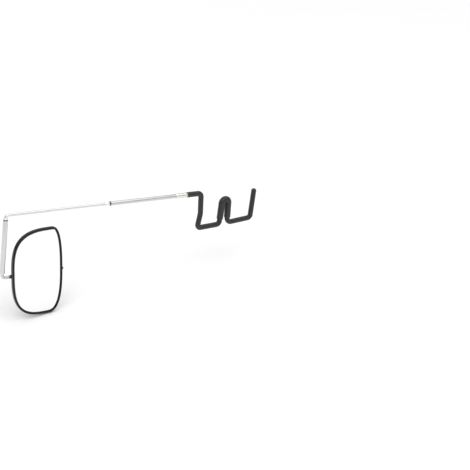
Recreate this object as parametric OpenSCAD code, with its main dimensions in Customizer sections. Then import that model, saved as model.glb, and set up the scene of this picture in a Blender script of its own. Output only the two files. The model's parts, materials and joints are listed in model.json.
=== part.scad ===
// Clip-on mirror for a pair of spectacles: a sprung wire clip, a tube and rod
// arm with two swivels, and a small mirror that tips on a cross rod.
//
// The origin is midway between the legs of the gripping loop, where the temple
// of the spectacles passes. +X points to the wearer's right, +Y forwards along
// the temple and +Z up. The clip, the arm and the rods all lie in the XZ plane.

/* [Clip] */
// Diameter of the clip wire and of both rods
rod_d = 1.6; // [1.5:0.05:1.65]
// Outer diameter of the rubber sleeve on the clip
sleeve_d = 3.2; // [3:0.1:3.4]
// Outer diameter of the second sleeve on the gripping loop
grip_d = 4; // [3.9:0.1:4.1]
// Height above the origin at which the second sleeve ends on both legs
grip_end = -0.9; // [-0.9:0.1:2]

/* [Arm] */
// Angle at which the arm rises away from the clip
arm_rise = 5.3; // [0:0.1:10]
// Length from the clip's end of the tube to the rod's bend
arm_reach = 110.9; // [90:0.1:130]
// Outer diameter of the arm tube
arm_tube_d = 2.4; // [2.3:0.1:2.8]
// Length of the arm tube
arm_tube_l = 50.8; // [40:0.1:70]
// Bore of both tubes
tube_bore = 1.9; // [1.85:0.01:2]
// Length of the ferrule that crimps the tube to the clip wire
ferrule_l = 8; // [6:0.5:12]

/* [Hanger] */
// Angle by which the hanger leans away from the wearer
hanger_lean = 7.8; // [0:0.1:10]
// Length from the rod's bend down to the cross rod
hanger_drop = 34.5; // [32:0.1:45]
// Outer diameter of the hanger tube
hanger_tube_d = 2.6; // [2.3:0.1:2.8]
// Length of the hanger tube
hanger_tube_l = 29; // [26:0.5:29]

/* [Mirror] */
// Width of the mirror's frame
mirror_w = 28.4; // [24:0.1:32]
// Height of the mirror's frame
mirror_h = 48; // [40:0.1:50]
// Depth of the mirror's frame
frame_depth = 2.2; // [2.2:0.1:3]
// Width of the frame's front lip
lip_w = 1.05; // [0.9:0.05:1.5]
// Angle at which the cross rod drops towards the wearer
cross_drop = 4.4; // [0:0.1:8]
// Angle at which the glass looks up
mirror_tilt = 4; // [-10:0.5:15]
// Share of the width on the outer side of the highest point
crown_share = 0.8; // [0.5:0.05:0.85]
// Share of the width on the outer side of the lowest point
foot_share = 0.7; // [0.5:0.05:0.85]
// Height of the mirror's middle above the cross rod
mirror_lift = 0.85; // [0:0.05:4]
// Fullness of the outline on its outer side
outer_fullness = 3.1; // [2.2:0.1:5]
// Fullness of the outline on its inner side
inner_fullness = 2.6; // [2.2:0.1:5]

/* [Hidden] */
$fn = 64;
// diametral clearances of sleeved, of fixed and of turning fits, and the gaps
// between faces that turn and from the arm tube to the sleeve
sleeve_fit = 0.1;
fixed_fit = 0.02;
turning_fit = 0.06;
face_gap = 0.05;
sleeve_gap = 0.1;

// directions in the XZ plane and the points where they meet
clip_start = [-27.4, 19.3];
arm_dir = [-cos(arm_rise), sin(arm_rise)];
hanger_dir = [-sin(hanger_lean), -cos(hanger_lean)];
cross_dir = [cos(cross_drop), -sin(cross_drop)];
arm_end = clip_start + arm_reach * arm_dir;
cross_start = arm_end + hanger_drop * hanger_dir;
rod_bend_r = 1.5;
cross_bend_r = 1.6;

// centreline of the clip wire as [x, z], from the arm's end of the ferrule to
// the free tip, and the bend radius at each inner point
wire_in_tube = 12;
loop_left_foot = [-3.4, -4.3];
loop_left_top = [-1.5, 11];
loop_right_top = [3.1, 11];
loop_right_foot = [2.5, -4.5];
clip_run = [
    clip_start, clip_start - 10.15 * arm_dir, [-17.5, 5.5], [-19.7, -3.4],
    loop_left_foot, loop_left_top, loop_right_top, loop_right_foot,
    [20.5, -4.9], [22.6, 12.4]
];
loop_bends = [2.4, 2.1];
clip_bends = concat([2.3, 8, 1.9, 2.2], loop_bends, [3, 2.2]);

// band round each end of a bend: its length and how far it stands proud
band_l = 0.3;
band_proud = 0.04;

// steps round each bend of the sleeve and sides round its section
bend_steps = 6;
ring_sides = 24;

// stations along the arm, from the clip's end of the tube
arm_mouth = arm_tube_l;
arm_ring_l = 0.8;
arm_collar_l = 3;
bush_l = 8;
washer_l = 0.3;
head_l = 0.8;
head_d = tube_bore - turning_fit;
arm_head = arm_mouth - bush_l - washer_l - head_l - 2 * face_gap;

// stations down the hanger, from the rod's bend
hanger_collar_l = 0.7;
hanger_ring_l = 0.5;
hanger_collar_at = 1.55;
hanger_ring_at = hanger_collar_at + hanger_collar_l + face_gap;
hanger_mouth = hanger_ring_at + hanger_ring_l;
hanger_head = hanger_mouth + bush_l + washer_l + 2 * face_gap;
insert_l = 10;

// stations along the cross rod, from the frame's outer edge
mirror_at = 5.4;
mirror_out = -0.75;
mirror_in = mirror_out + mirror_w;
barrel_d = 3.1;
liner_d = 1.96;
liner_from = -1.1;
cap_from = mirror_in + 0.2;
cap_d = 2.2;
cap_l = 1.6;
cap_wall = 0.6;

// layers of the mirror, from the front lip backwards
frame_back = -1;
frame_front = frame_back - frame_depth;
lip_t = 0.5;
wall_t = 0.55;
pad_t = 0.2;
plate_t = 0.6;
glass_front = frame_front + lip_t;
plate_front = frame_back - plate_t;
glass_t = plate_front - pad_t - glass_front;
outline_steps = 96;

function unit(v) = v / norm(v);
function heading(v) = atan2(v.y, v.x);
function side(v) = [-v.y, v.x];
function tail(list) = [for (i = [1 : len(list) - 1]) list[i]];
function cross2(a, b) = a.x * b.y - a.y * b.x;

// angle turned at point i of a run, and how far from it the bend begins
function turn(run, i) =
    let (a = unit(run[i] - run[i - 1]), b = unit(run[i + 1] - run[i]))
    atan2(cross2(a, b), a * b);
function setback(run, bends, i) =
    i == 0 || i == len(run) - 1 ? 0 : bends[i - 1] * tan(abs(turn(run, i)) / 2);

// point of the line from a to b at a given height
function at_height(a, b, z) = a + (b - a) * (z - a.y) / (b.y - a.y);

// lays out in the XZ plane what is drawn in XY
module upright() rotate([90, 0, 0]) children();

// short band, a hair thicker than the bar, where a straight length meets a bend
module band(at, along, d)
    translate([at.x, at.y, 0])
        rotate([0, 90, heading(along)])
            cylinder(d = d + 2 * band_proud, h = band_l, center = true);

// round bar along a run of [x, z] points with a bend at each inner point
module bent_bar(run, bends, d) {
    upright() {
        for (i = [0 : len(run) - 2]) {
            a = unit(run[i + 1] - run[i]);
            from = run[i] + a * setback(run, bends, i);
            to = run[i + 1] - a * setback(run, bends, i + 1);
            translate([from.x, from.y, 0])
                rotate([0, 90, heading(a)])
                    cylinder(d = d, h = norm(to - from));
        }
        for (i = [1 : len(run) - 2]) {
            a = unit(run[i] - run[i - 1]);
            b = unit(run[i + 1] - run[i]);
            angle = turn(run, i);
            left = angle > 0 ? 1 : -1;
            begin = run[i] - a * setback(run, bends, i);
            end = run[i] + b * setback(run, bends, i);
            centre = begin + side(a) * left * bends[i - 1];
            band(begin, a, d);
            band(end, b, d);
            translate([centre.x, centre.y, 0])
                rotate([0, 0, heading(-side(a) * left) + min(angle, 0)])
                    rotate_extrude(angle = abs(angle))
                        translate([bends[i - 1], 0])
                            circle(d = d);
        }
    }
}

// stations along a run, as [point, heading], with each bend cut into steps
function stations(run, bends) = [
    [run[0], heading(run[1] - run[0])],
    for (i = [1 : len(run) - 2])
        let (
            a = unit(run[i] - run[i - 1]),
            angle = turn(run, i),
            out = sign(angle) * bends[i - 1],
            centre = run[i] - a * setback(run, bends, i) + side(a) * out
        )
        for (k = [0 : bend_steps])
            let (h = heading(a) + angle * k / bend_steps)
            [centre + out * [sin(h), -cos(h)], h],
    [run[len(run) - 1], heading(run[len(run) - 1] - run[len(run) - 2])]
];

// circle of points round a station, moved on along its heading
function ring(station, r, on = 0) =
    let (h = station[1], p = station[0] + on * [cos(h), sin(h)])
    [
        for (j = [0 : ring_sides - 1])
            let (t = 360 * j / ring_sides)
            [p.x - r * cos(t) * sin(h), r * sin(t), p.y + r * cos(t) * cos(h)]
    ];

// closed skin through rings of points, with a flat face on the first and last
module skin(rings) {
    n = ring_sides;
    last = (len(rings) - 1) * n;
    polyhedron(
        points = [for (loop = rings) each loop],
        faces = [
            [for (j = [0 : n - 1]) j],
            [for (j = [n - 1 : -1 : 0]) last + j],
            for (i = [0 : len(rings) - 2], j = [0 : n - 1])
                let (a = i * n + j, b = i * n + (j + 1) % n)
                each [[a, a + n, b], [b, a + n, b + n]]
        ]
    );
}

// places its children with their +Z along the arm, the hanger or the cross rod
module on_arm(at = 0)
    translate([clip_start.x, 0, clip_start.y])
        rotate([0, arm_rise - 90, 0])
            translate([0, 0, at]) children();
module on_hanger(at = 0)
    translate([arm_end.x, 0, arm_end.y])
        rotate([0, 180 + hanger_lean, 0])
            translate([0, 0, at]) children();

// places its children in the mirror's frame: X along the cross rod from the
// frame's outer edge, Z up the glass and -Y out of it
module on_mirror()
    translate([cross_start.x, 0, cross_start.y])
        rotate([0, cross_drop, 0])
            translate([mirror_at, 0, 0])
                rotate([-mirror_tilt, 0, 0]) children();
module along_cross(at = 0)
    on_mirror() translate([at, 0, 0]) rotate([0, 90, 0]) children();

module pipe(od, id, h)
    difference() {
        cylinder(d = od, h = h);
        translate([0, 0, -1]) cylinder(d = id, h = h + 2);
    }

// pipe with both outer edges rounded to half its wall
module soft_pipe(od, id, h) {
    wall = (od - id) / 2;
    rotate_extrude() {
        translate([id / 2, wall / 2]) square([wall, h - wall]);
        translate([id / 2, 0]) square([wall / 2, h]);
        for (z = [wall / 2, h - wall / 2])
            translate([id / 2 + wall / 2, z]) circle(d = wall);
    }
}

// pipe with a sloped shoulder at each end
module crimped_pipe(od, id, h, slope)
    rotate_extrude()
        polygon([
            [id / 2, 0], [(od + id) / 4, 0], [od / 2, slope],
            [od / 2, h - slope], [(od + id) / 4, h], [id / 2, h]
        ]);

/* clip */

module clip_wire() color("silver")
    bent_bar(concat([clip_start + wire_in_tube * arm_dir], tail(clip_run)),
             clip_bends, rod_d);

// one skin, from the blind end of the bore back to the open end, then along
// the outside to the rounded tip
module clip_sleeve() color("dimgray") {
    run = concat([clip_start - sleeve_gap * arm_dir], tail(clip_run));
    path = stations(run, clip_bends);
    r = sleeve_d / 2;
    skin([
        for (i = [len(path) - 1 : -1 : 0]) ring(path[i], (rod_d + sleeve_fit) / 2),
        for (station = path) ring(station, r),
        for (u = [15 : 15 : 75])
            ring(path[len(path) - 1], r * cos(u), r * sin(u))
    ]);
}

module loop_grip() color("dimgray")
    difference() {
        loop_run(grip_end, grip_d);
        loop_run(grip_end - 1, sleeve_d + sleeve_fit);
    }

module loop_run(foot, d)
    bent_bar([
        at_height(loop_left_foot, loop_left_top, foot), loop_left_top,
        loop_right_top, at_height(loop_right_top, loop_right_foot, foot)
    ], loop_bends, d);

module clip_ferrule() color("gainsboro")
    on_arm() crimped_pipe(arm_tube_d + 0.5, arm_tube_d + fixed_fit, ferrule_l, 0.6);

module wire_insert() color("goldenrod")
    on_arm(0.5) pipe(tube_bore - fixed_fit, rod_d + fixed_fit, insert_l);

/* arm */

module arm_tube() color("silver")
    on_arm() pipe(arm_tube_d, tube_bore, arm_tube_l);

module arm_bush() color("white")
    on_arm(arm_mouth - bush_l) pipe(tube_bore - fixed_fit, rod_d + turning_fit, bush_l);

module arm_friction_ring() color("gray")
    on_arm(arm_mouth) soft_pipe(arm_tube_d + 0.1, rod_d + turning_fit, arm_ring_l);

/* swivel rod */

module swivel_rod() color("silver") {
    bent_bar([
        clip_start + arm_head * arm_dir, arm_end,
        arm_end + (hanger_head + head_l) * hanger_dir
    ], [rod_bend_r], rod_d);
    on_arm(arm_head) cylinder(d = head_d, h = head_l);
    on_hanger(hanger_head) cylinder(d = head_d, h = head_l);
}

module arm_thrust_washer() color("goldenrod")
    on_arm(arm_head + head_l) pipe(head_d, rod_d + fixed_fit, washer_l);

module arm_collar() color("white")
    on_arm(arm_mouth + arm_ring_l + face_gap)
        soft_pipe(arm_tube_d - 0.05, rod_d + fixed_fit, arm_collar_l);

module hanger_collar() color("white")
    on_hanger(hanger_collar_at)
        soft_pipe(arm_tube_d - 0.15, rod_d + fixed_fit, hanger_collar_l);

module hanger_thrust_washer() color("goldenrod")
    on_hanger(hanger_head - washer_l) pipe(head_d, rod_d + fixed_fit, washer_l);

/* hanger */

module hanger_tube() color("silver")
    on_hanger(hanger_mouth) pipe(hanger_tube_d, tube_bore, hanger_tube_l);

module hanger_bush() color("white")
    on_hanger(hanger_mouth)
        pipe(tube_bore - fixed_fit, rod_d + turning_fit, bush_l);

module hanger_friction_ring() color("gray")
    on_hanger(hanger_ring_at)
        soft_pipe(hanger_tube_d - 0.1, rod_d + turning_fit, hanger_ring_l);

module rod_insert() color("goldenrod")
    on_hanger(hanger_mouth + hanger_tube_l - insert_l)
        pipe(tube_bore - fixed_fit, rod_d + fixed_fit, insert_l);

module mirror_rod() color("silver")
    bent_bar([
        arm_end + (hanger_mouth + hanger_tube_l - insert_l) * hanger_dir,
        cross_start,
        cross_start + (mirror_at + cap_from + cap_l - cap_wall) * cross_dir
    ], [cross_bend_r], rod_d);

module rod_end_cap() color("black")
    along_cross(cap_from)
        difference() {
            union() {
                cylinder(d = cap_d, h = cap_l - cap_d / 2);
                translate([0, 0, cap_l - cap_d / 2]) sphere(d = cap_d);
            }
            translate([0, 0, -1]) cylinder(d = rod_d + fixed_fit, h = cap_l - cap_wall + 1);
        }

/* mirror */

// outline of the mirror drawn inwards by a given amount: four quarter curves
// that meet at the highest, the lowest and the two outermost points
function bow(v, fullness) = sign(v) * pow(abs(v), 2 / fullness);
function bow_normal(v, fullness) = sign(v) * pow(abs(v), 2 - 2 / fullness);
function outline(inset) = [
    for (i = [0 : outline_steps - 1])
        let (
            c = cos(360 * i / outline_steps),
            s = sin(360 * i / outline_steps),
            n = c < 0 ? outer_fullness : inner_fullness,
            share = s < 0 ? foot_share : crown_share,
            half_w = mirror_w * (c < 0 ? share : 1 - share),
            half_h = mirror_h / 2,
            facing = unit([bow_normal(c, n) / half_w, bow_normal(s, n) / half_h])
        )
        [
            mirror_out + mirror_w * share + half_w * bow(c, n),
            mirror_lift + half_h * bow(s, n)
        ] - inset * facing
];

// slab of the mirror's outline whose front is at a given depth
module slab(front, thick, inset)
    translate([0, front + thick, 0])
        upright() linear_extrude(thick) polygon(outline(inset));

module mirror_frame() color("black")
    on_mirror()
        difference() {
            slab(frame_front, frame_depth, 0);
            slab(glass_front, frame_depth, wall_t);
            slab(frame_front - 1, frame_depth, lip_w);
        }

module mirror_glass() color("lightcyan")
    on_mirror() slab(glass_front, glass_t, wall_t + fixed_fit);

module mirror_pad() color("dimgray")
    on_mirror() slab(glass_front + glass_t, pad_t, wall_t + 0.6);

module mirror_back() color("black")
    on_mirror()
        difference() {
            union() {
                slab(plate_front, plate_t, wall_t + fixed_fit);
                translate([mirror_out + 1.2, 0, 0])
                    rotate([0, 90, 0]) cylinder(d = barrel_d, h = mirror_w - 2.4);
            }
            translate([mirror_out - 1, 0, 0])
                rotate([0, 90, 0]) cylinder(d = liner_d + fixed_fit, h = mirror_w + 2);
        }

module pivot_liner() color("black")
    along_cross(liner_from)
        pipe(liner_d, rod_d + turning_fit, mirror_in - 0.8 - liner_from);

clip_wire();
clip_sleeve();
loop_grip();
clip_ferrule();
wire_insert();
arm_tube();
arm_bush();
arm_friction_ring();
swivel_rod();
arm_thrust_washer();
arm_collar();
hanger_collar();
hanger_thrust_washer();
hanger_tube();
hanger_bush();
hanger_friction_ring();
rod_insert();
mirror_rod();
rod_end_cap();
mirror_frame();
mirror_glass();
mirror_pad();
mirror_back();
pivot_liner();
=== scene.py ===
import json
import math

import bmesh
import bpy
from mathutils import Matrix, Vector


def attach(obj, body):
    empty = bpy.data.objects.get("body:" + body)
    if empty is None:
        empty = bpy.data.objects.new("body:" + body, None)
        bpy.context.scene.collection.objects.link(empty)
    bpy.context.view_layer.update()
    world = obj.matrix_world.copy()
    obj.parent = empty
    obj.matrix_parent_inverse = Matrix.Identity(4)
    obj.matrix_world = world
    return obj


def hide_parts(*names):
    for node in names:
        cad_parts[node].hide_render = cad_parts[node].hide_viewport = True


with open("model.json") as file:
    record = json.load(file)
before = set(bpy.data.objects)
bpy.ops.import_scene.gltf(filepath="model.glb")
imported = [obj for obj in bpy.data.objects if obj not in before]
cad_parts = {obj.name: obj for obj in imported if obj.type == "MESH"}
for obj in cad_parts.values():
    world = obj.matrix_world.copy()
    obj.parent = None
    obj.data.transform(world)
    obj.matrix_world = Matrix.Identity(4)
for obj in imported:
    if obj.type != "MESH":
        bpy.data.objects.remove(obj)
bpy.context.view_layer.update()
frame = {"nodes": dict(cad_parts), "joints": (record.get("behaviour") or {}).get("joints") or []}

mm = 0.001  # sizes below are in millimetres
farAway = 1000.0  # past the end of any piece

# the three swivels give the lines that everything else is laid along
joints = {joint["name"]: joint for joint in frame["joints"]}
armMouth = Vector(joints["arm_swivel"]["pos_m"]) / mm
armAxis = Vector(joints["arm_swivel"]["axis"]).normalized()
rodCorner = Vector(joints["hanger_swivel"]["pos_m"]) / mm
hangerAxis = -Vector(joints["hanger_swivel"]["axis"]).normalized()
frameEdge = Vector(joints["mirror_flip"]["pos_m"]) / mm
crossAxis = Vector(joints["mirror_flip"]["axis"]).normalized()

# diameters of the stock and the bores that several pieces share, and how far a bore is eased
stock = {
    "rod": 1.6,
    "armTube": 2.4,
    "hangerTube": 2.6,
    "tubeBore": 1.9,
    "tubeBoreEdge": 0.05,
    "fixedBore": 1.62,
    "turningBore": 1.66,
    "boreEdge": 0.04,
}


# "#rrggbb" as the linear colour that a shader wants
def linear(hexColour):
    values = [int(hexColour[i:i + 2], 16) / 255 for i in (1, 3, 5)]
    return [v / 12.92 if v <= 0.04045 else ((v + 0.055) / 1.055) ** 2.4 for v in values] + [1.0]


# one node with its own settings, and inputs that are values or sockets to link. A Mix node
# takes its factor on input 0 and its colours on 6 and 7, and gives a colour on output 2
def addNode(tree, kind, settings={}, inputs={}):
    node = tree.nodes.new(kind)
    for key, value in settings.items():
        setattr(node, key, value)
    for key, value in inputs.items():
        if isinstance(value, bpy.types.NodeSocket):
            tree.links.new(value, node.inputs[key])
        else:
            node.inputs[key].default_value = value
    return node


# a material with a Principled shader whose constants sit on its own sockets
def newMaterial(name, colour, roughness, metallic=0.0, **more):
    material = bpy.data.materials.new(name)
    material.use_nodes = True
    tree = material.node_tree
    tree.nodes.clear()
    shader = addNode(tree, "ShaderNodeBsdfPrincipled", {}, {
        "Base Color": linear(colour), "Roughness": roughness, "Metallic": metallic, **more})
    addNode(tree, "ShaderNodeOutputMaterial", {}, {"Surface": shader.outputs[0]})
    return material, tree, shader


# noise in the straight coordinates of a turned piece: grain this long round it and along it
def grainAlong(tree, around, along, detail=3.0):
    flow = addNode(tree, "ShaderNodeAttribute", {"attribute_name": "flow"})
    scaled = addNode(tree, "ShaderNodeVectorMath", {"operation": "MULTIPLY"}, {
        0: flow.outputs["Vector"], 1: (1 / (around * mm), 1 / (around * mm), 1 / (along * mm))})
    return addNode(tree, "ShaderNodeTexNoise", {}, {
        "Vector": scaled.outputs[0], "Scale": 1.0, "Detail": detail}).outputs[0]


# noise in object coordinates, for pieces that nothing was bent along
def grainOver(tree, size, detail=3.0):
    place = addNode(tree, "ShaderNodeTexCoord")
    return addNode(tree, "ShaderNodeTexNoise", {}, {
        "Vector": place.outputs["Object"], "Scale": 1 / (size * mm), "Detail": detail}).outputs[0]


# lets noise, which lies mostly between 0.3 and 0.7, move the roughness between two values and
# raise the surface by this many millimetres
def finishWith(tree, shader, pattern, rough, height):
    spread = addNode(tree, "ShaderNodeMapRange", {}, {
        "Value": pattern, "From Min": 0.3, "From Max": 0.7, "To Min": rough[0], "To Max": rough[1]})
    tree.links.new(spread.outputs[0], shader.inputs["Roughness"])
    bump = addNode(tree, "ShaderNodeBump", {}, {
        "Height": pattern, "Strength": 1.0, "Distance": height * mm})
    tree.links.new(bump.outputs[0], shader.inputs["Normal"])
    return bump


# soft vinyl tubing, extruded: satin black with faint die lines along it, and a dull greyer face
# where a knife cut it, at flow heights below cutEnds[0] and above cutEnds[1]. Real die lines
# are under 0.1 mm apart, and are drawn 0.35 mm apart so that they show
def softVinyl(name, colour, cutEnds):
    material, tree, shader = newMaterial(name, colour, 0.42, IOR=1.5)
    lines = grainAlong(tree, 0.35, 6.0)
    bump = finishWith(tree, shader, lines, (0.36, 0.5), 0.006)
    pores = grainAlong(tree, 0.12, 0.12, 2.0)  # the skin's own pores, in millimetres
    fine = addNode(tree, "ShaderNodeBump", {}, {
        "Height": pores, "Strength": 1.0, "Distance": 0.002 * mm, "Normal": bump.outputs[0]})
    tree.links.new(fine.outputs[0], shader.inputs["Normal"])
    flow = addNode(tree, "ShaderNodeAttribute", {"attribute_name": "flow"})
    height = addNode(tree, "ShaderNodeSeparateXYZ", {}, {0: flow.outputs["Vector"]}).outputs[2]
    start = addNode(tree, "ShaderNodeMath", {"operation": "LESS_THAN"}, {
        0: height, 1: cutEnds[0] * mm})
    end = addNode(tree, "ShaderNodeMath", {"operation": "GREATER_THAN"}, {
        0: height, 1: cutEnds[1] * mm})
    cut = addNode(tree, "ShaderNodeMath", {"operation": "ADD"}, {
        0: start.outputs[0], 1: end.outputs[0]})
    # painted sheen: the black is lifted towards a lighter grey in random stretches along the tubing
    sheenGrey, cutFace = linear("#262628"), linear("#4c4c4f")
    sheenPatches = grainAlong(tree, 1.6, 9.0, 4.0)  # lighter grey stretches at random, a painted sheen
    skin = addNode(tree, "ShaderNodeMix", {"data_type": "RGBA"}, {0: sheenPatches, 6: linear(colour), 7: sheenGrey})
    shown = addNode(tree, "ShaderNodeMix", {"data_type": "RGBA"}, {
        0: cut.outputs[0], 6: skin.outputs[2], 7: cutFace})
    tree.links.new(shown.outputs[2], shader.inputs["Base Color"])
    return material


# how the steel was worked: roughness from and to, spacing of its lines round it and along it,
# and their height. Real drawing lines are near 0.02 mm apart, and are drawn ten times as coarse
# so that they show
steelWork = {
    "drawnWire": ((0.25, 0.4), 0.2, 8, 0.003),
    "drawnTube": ((0.2, 0.34), 0.22, 9, 0.0025),
    "drawnRod": ((0.16, 0.3), 0.18, 10, 0.002),
    "swaged": ((0.14, 0.26), 0.3, 1.2, 0.002),
    "turned": ((0.08, 0.18), 4, 0.12, 0.0015),
}


# stainless steel: drawn stock has lines along it that blur what it reflects, swaged work is
# brighter and slightly uneven, and turned work is brightest, with lines round it
def stainless(name, colour, work):
    rough, around, along, height = steelWork[work]
    material, tree, shader = newMaterial(name, colour, rough[0], 1.0)
    finishWith(tree, shader, grainAlong(tree, around, along), rough, height)
    return material


# nitrile rubber and black nylon, moulded: dull, with a fine even skin. The skin's grain is
# near 0.03 mm, and is drawn at 0.15 mm so that it shows
def mouldedSkin(name, colour):
    material, tree, shader = newMaterial(name, colour, 0.6, IOR=1.52)
    finishWith(tree, shader, grainAlong(tree, 0.15, 0.15, 4.0), (0.52, 0.7), 0.004)
    return material


# moulded ABS: glossy with a slight waviness from a polished tool, or matt with the fine sparked
# grain of a back face
def mouldedAbs(name, colour, rough, grain, height, shine):
    material, tree, shader = newMaterial(name, colour, rough[0], IOR=1.53)
    shader.inputs["Specular IOR Level"].default_value = shine
    finishWith(tree, shader, grainOver(tree, grain, 4.0), rough, height)
    return material


# float glass silvered behind: near-white reflection with a trace of green, a grey-blue band
# next to the frame's lip that is painted shade for the lip's shadow and dark reflection, partly the
# silver thinning at its edge, and the faintest smears
def silveredGlass(name, colour, lipShadeBand):
    material, tree, shader = newMaterial(name, colour, 0.015, 1.0)
    # painted shade: the colour turns grey-blue where the glass meets the frame's lip, and fades out further
    # in
    inset = addNode(tree, "ShaderNodeAttribute", {"attribute_name": "inset"})
    edge = addNode(tree, "ShaderNodeMapRange", {"interpolation_type": "SMOOTHSTEP"}, {
        "Value": inset.outputs["Fac"], "From Min": lipShadeBand[0] * mm, "From Max": lipShadeBand[1] * mm,
        "To Min": 1.0, "To Max": 0.0})
    shown = addNode(tree, "ShaderNodeMix", {"data_type": "RGBA"}, {
        0: edge.outputs[0], 6: linear(colour), 7: linear("#8f9aa3")})
    tree.links.new(shown.outputs[2], shader.inputs["Base Color"])
    smears = grainOver(tree, 9.0, 2.0)
    spread = addNode(tree, "ShaderNodeMapRange", {}, {
        "Value": smears, "From Min": 0.4, "From Max": 0.75, "To Min": 0.01, "To Max": 0.035})
    tree.links.new(spread.outputs[0], shader.inputs["Roughness"])
    return material


# brass, turned or pressed: warm yellow and softly bright, with fine tool marks
def brass(name):
    material, tree, shader = newMaterial(name, "#c9a452", 0.3, 1.0)
    finishWith(tree, shader, grainOver(tree, 0.2), (0.22, 0.38), 0.002)
    return material


# natural nylon, turned: milky white and waxy
def naturalNylon(name):
    material, tree, shader = newMaterial(name, "#e6e2d6", 0.5, IOR=1.53)
    finishWith(tree, shader, grainOver(tree, 0.4), (0.42, 0.58), 0.002)
    return material


# foam tape, cut: flat dark grey with open pores
def foamTape(name):
    material, tree, shader = newMaterial(name, "#3a3a3c", 0.9, IOR=1.45)
    finishWith(tree, shader, grainOver(tree, 0.15, 5.0), (0.85, 0.95), 0.02)
    return material


# a run in the XZ plane with its corners rounded: its points, how far along it each lies, and
# how hard it bends there, which is most in the middle of a tight bend
def roundedRun(corners, bends, step=5.0):
    tightBend = 2.0
    corners = [Vector((x, 0, z)) for x, z in corners]
    points, bend = [corners[0]], [0.0]
    for before, corner, after, radius in zip(corners, corners[1:], corners[2:], bends):
        into = (corner - before).normalized()
        out = (after - corner).normalized()
        angle = into.angle(out)
        begin = corner - into * radius * math.tan(angle / 2)
        inward = (out - into * into.dot(out)).normalized()
        steps = max(2, math.ceil(math.degrees(angle) / step))
        for k in range(steps + 1):
            a = angle * k / steps
            points.append(begin + into * radius * math.sin(a) + inward * radius * (1 - math.cos(a)))
            bend.append(math.sin(math.pi * k / steps) * min(1.0, tightBend / radius))
    points.append(corners[-1])
    bend.append(0.0)
    lengths = [0.0]
    for here, there in zip(points, points[1:]):
        lengths.append(lengths[-1] + (there - here).length)
    return {"points": points, "bend": bend, "lengths": lengths}


# quarter and half rounds of a profile, as (radius, height) points
def arc(radius, height, size, start, end, steps):
    angles = [math.radians(start + (end - start) * k / steps) for k in range(steps + 1)]
    return [(radius + size * math.cos(a), height + size * math.sin(a)) for a in angles]


# the long wall of a profile, with a ring wherever its run has a point, but none so near the
# ends that it would make slivers
def wall(radius, run, start, end):
    clear = 0.05
    rings = [z for z in run["lengths"] if min(start, end) + clear < z < max(start, end) - clear]
    heights = rings if start < end else rings[::-1]
    return [(radius, start)] + [(radius, z) for z in heights] + [(radius, end)]


# a solid bar that follows a run, with its ends slightly rounded
def barProfile(thickness, run, edge):
    length, r = run["lengths"][-1], thickness / 2
    profile = [(0, 0)] + arc(r - edge, edge, edge, -90, 0, 3) + wall(r, run, edge, length - edge)[1:-1]
    return profile + arc(r - edge, length - edge, edge, 0, 90, 3) + [(0, length)]


# a cylinder with a bore and rounded edges, from its own zero upwards
def ringProfile(outside, bore, length, outerEdge, boreEdge):
    r, b = outside / 2, bore / 2
    profile = arc(b + boreEdge, boreEdge, boreEdge, 180, 270, 4)
    profile += arc(r - outerEdge, outerEdge, outerEdge, -90, 0, 5)
    profile += arc(r - outerEdge, length - outerEdge, outerEdge, 0, 90, 5)
    return profile + arc(b + boreEdge, length - boreEdge, boreEdge, 90, 180, 4)


# smooth shading, with an edge left sharp where its faces meet at more than this angle
def markEdges(form, degrees):
    for face in form.faces:
        face.smooth = True
    for edge in form.edges:
        edge.smooth = edge.calc_face_angle(0) < math.radians(degrees)


# turns a profile of (radius, height) points into a closed mesh. A radius of 0 ends it on the
# axis, and a profile that stays off the axis closes on itself, or gets flat ends. A point that
# repeats the one before it is left out, because it would give faces of no area
def turned(name, profile, sides=48, flatEnds=False):
    tiny = 1e-6
    apart = [True] + [math.dist(here, there) > tiny for here, there in zip(profile, profile[1:])]
    form = bmesh.new()
    rings = []
    for radius, height in (point for point, keep in zip(profile, apart) if keep):
        count = sides if radius > tiny else 1
        rings.append([
            form.verts.new((radius * mm * math.cos(2 * math.pi * k / count),
                            radius * mm * math.sin(2 * math.pi * k / count), height * mm))
            for k in range(count)])
    pairs = list(zip(rings, rings[1:]))
    if flatEnds:
        form.faces.new(rings[0])
        form.faces.new(rings[-1])
    elif len(rings[0]) > 1:
        pairs.append((rings[-1], rings[0]))
    for lower, upper in pairs:
        for k in range(sides):
            corners = [ring[i % len(ring)] for ring, i in
                       ((lower, k), (lower, (k + 1) % sides), (upper, (k + 1) % sides), (upper, k))]
            form.faces.new(dict.fromkeys(corners))
    bmesh.ops.recalc_face_normals(form, faces=form.faces)
    markEdges(form, 38)
    mesh = bpy.data.meshes.new(name)
    form.to_mesh(mesh)
    form.free()
    return mesh


# a geometry node tree with named inputs, and the sockets that they arrive on
def newTree(name, sockets):
    tree = bpy.data.node_groups.new(name, "GeometryNodeTree")
    tree.interface.new_socket("Geometry", in_out="INPUT", socket_type="NodeSocketGeometry")
    for label, kind in sockets:
        tree.interface.new_socket(label, in_out="INPUT", socket_type=kind)
    tree.interface.new_socket("Geometry", in_out="OUTPUT", socket_type="NodeSocketGeometry")
    return tree, addNode(tree, "NodeGroupInput").outputs


# closes a tree with real geometry in one material
def closeTree(tree, geometry, material):
    real = addNode(tree, "GeometryNodeRealizeInstances", {}, {0: geometry})
    painted = addNode(tree, "GeometryNodeSetMaterial", {}, {
        "Geometry": real.outputs[0], "Material": material})
    addNode(tree, "NodeGroupOutput", {}, {0: painted.outputs[0]})


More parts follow.
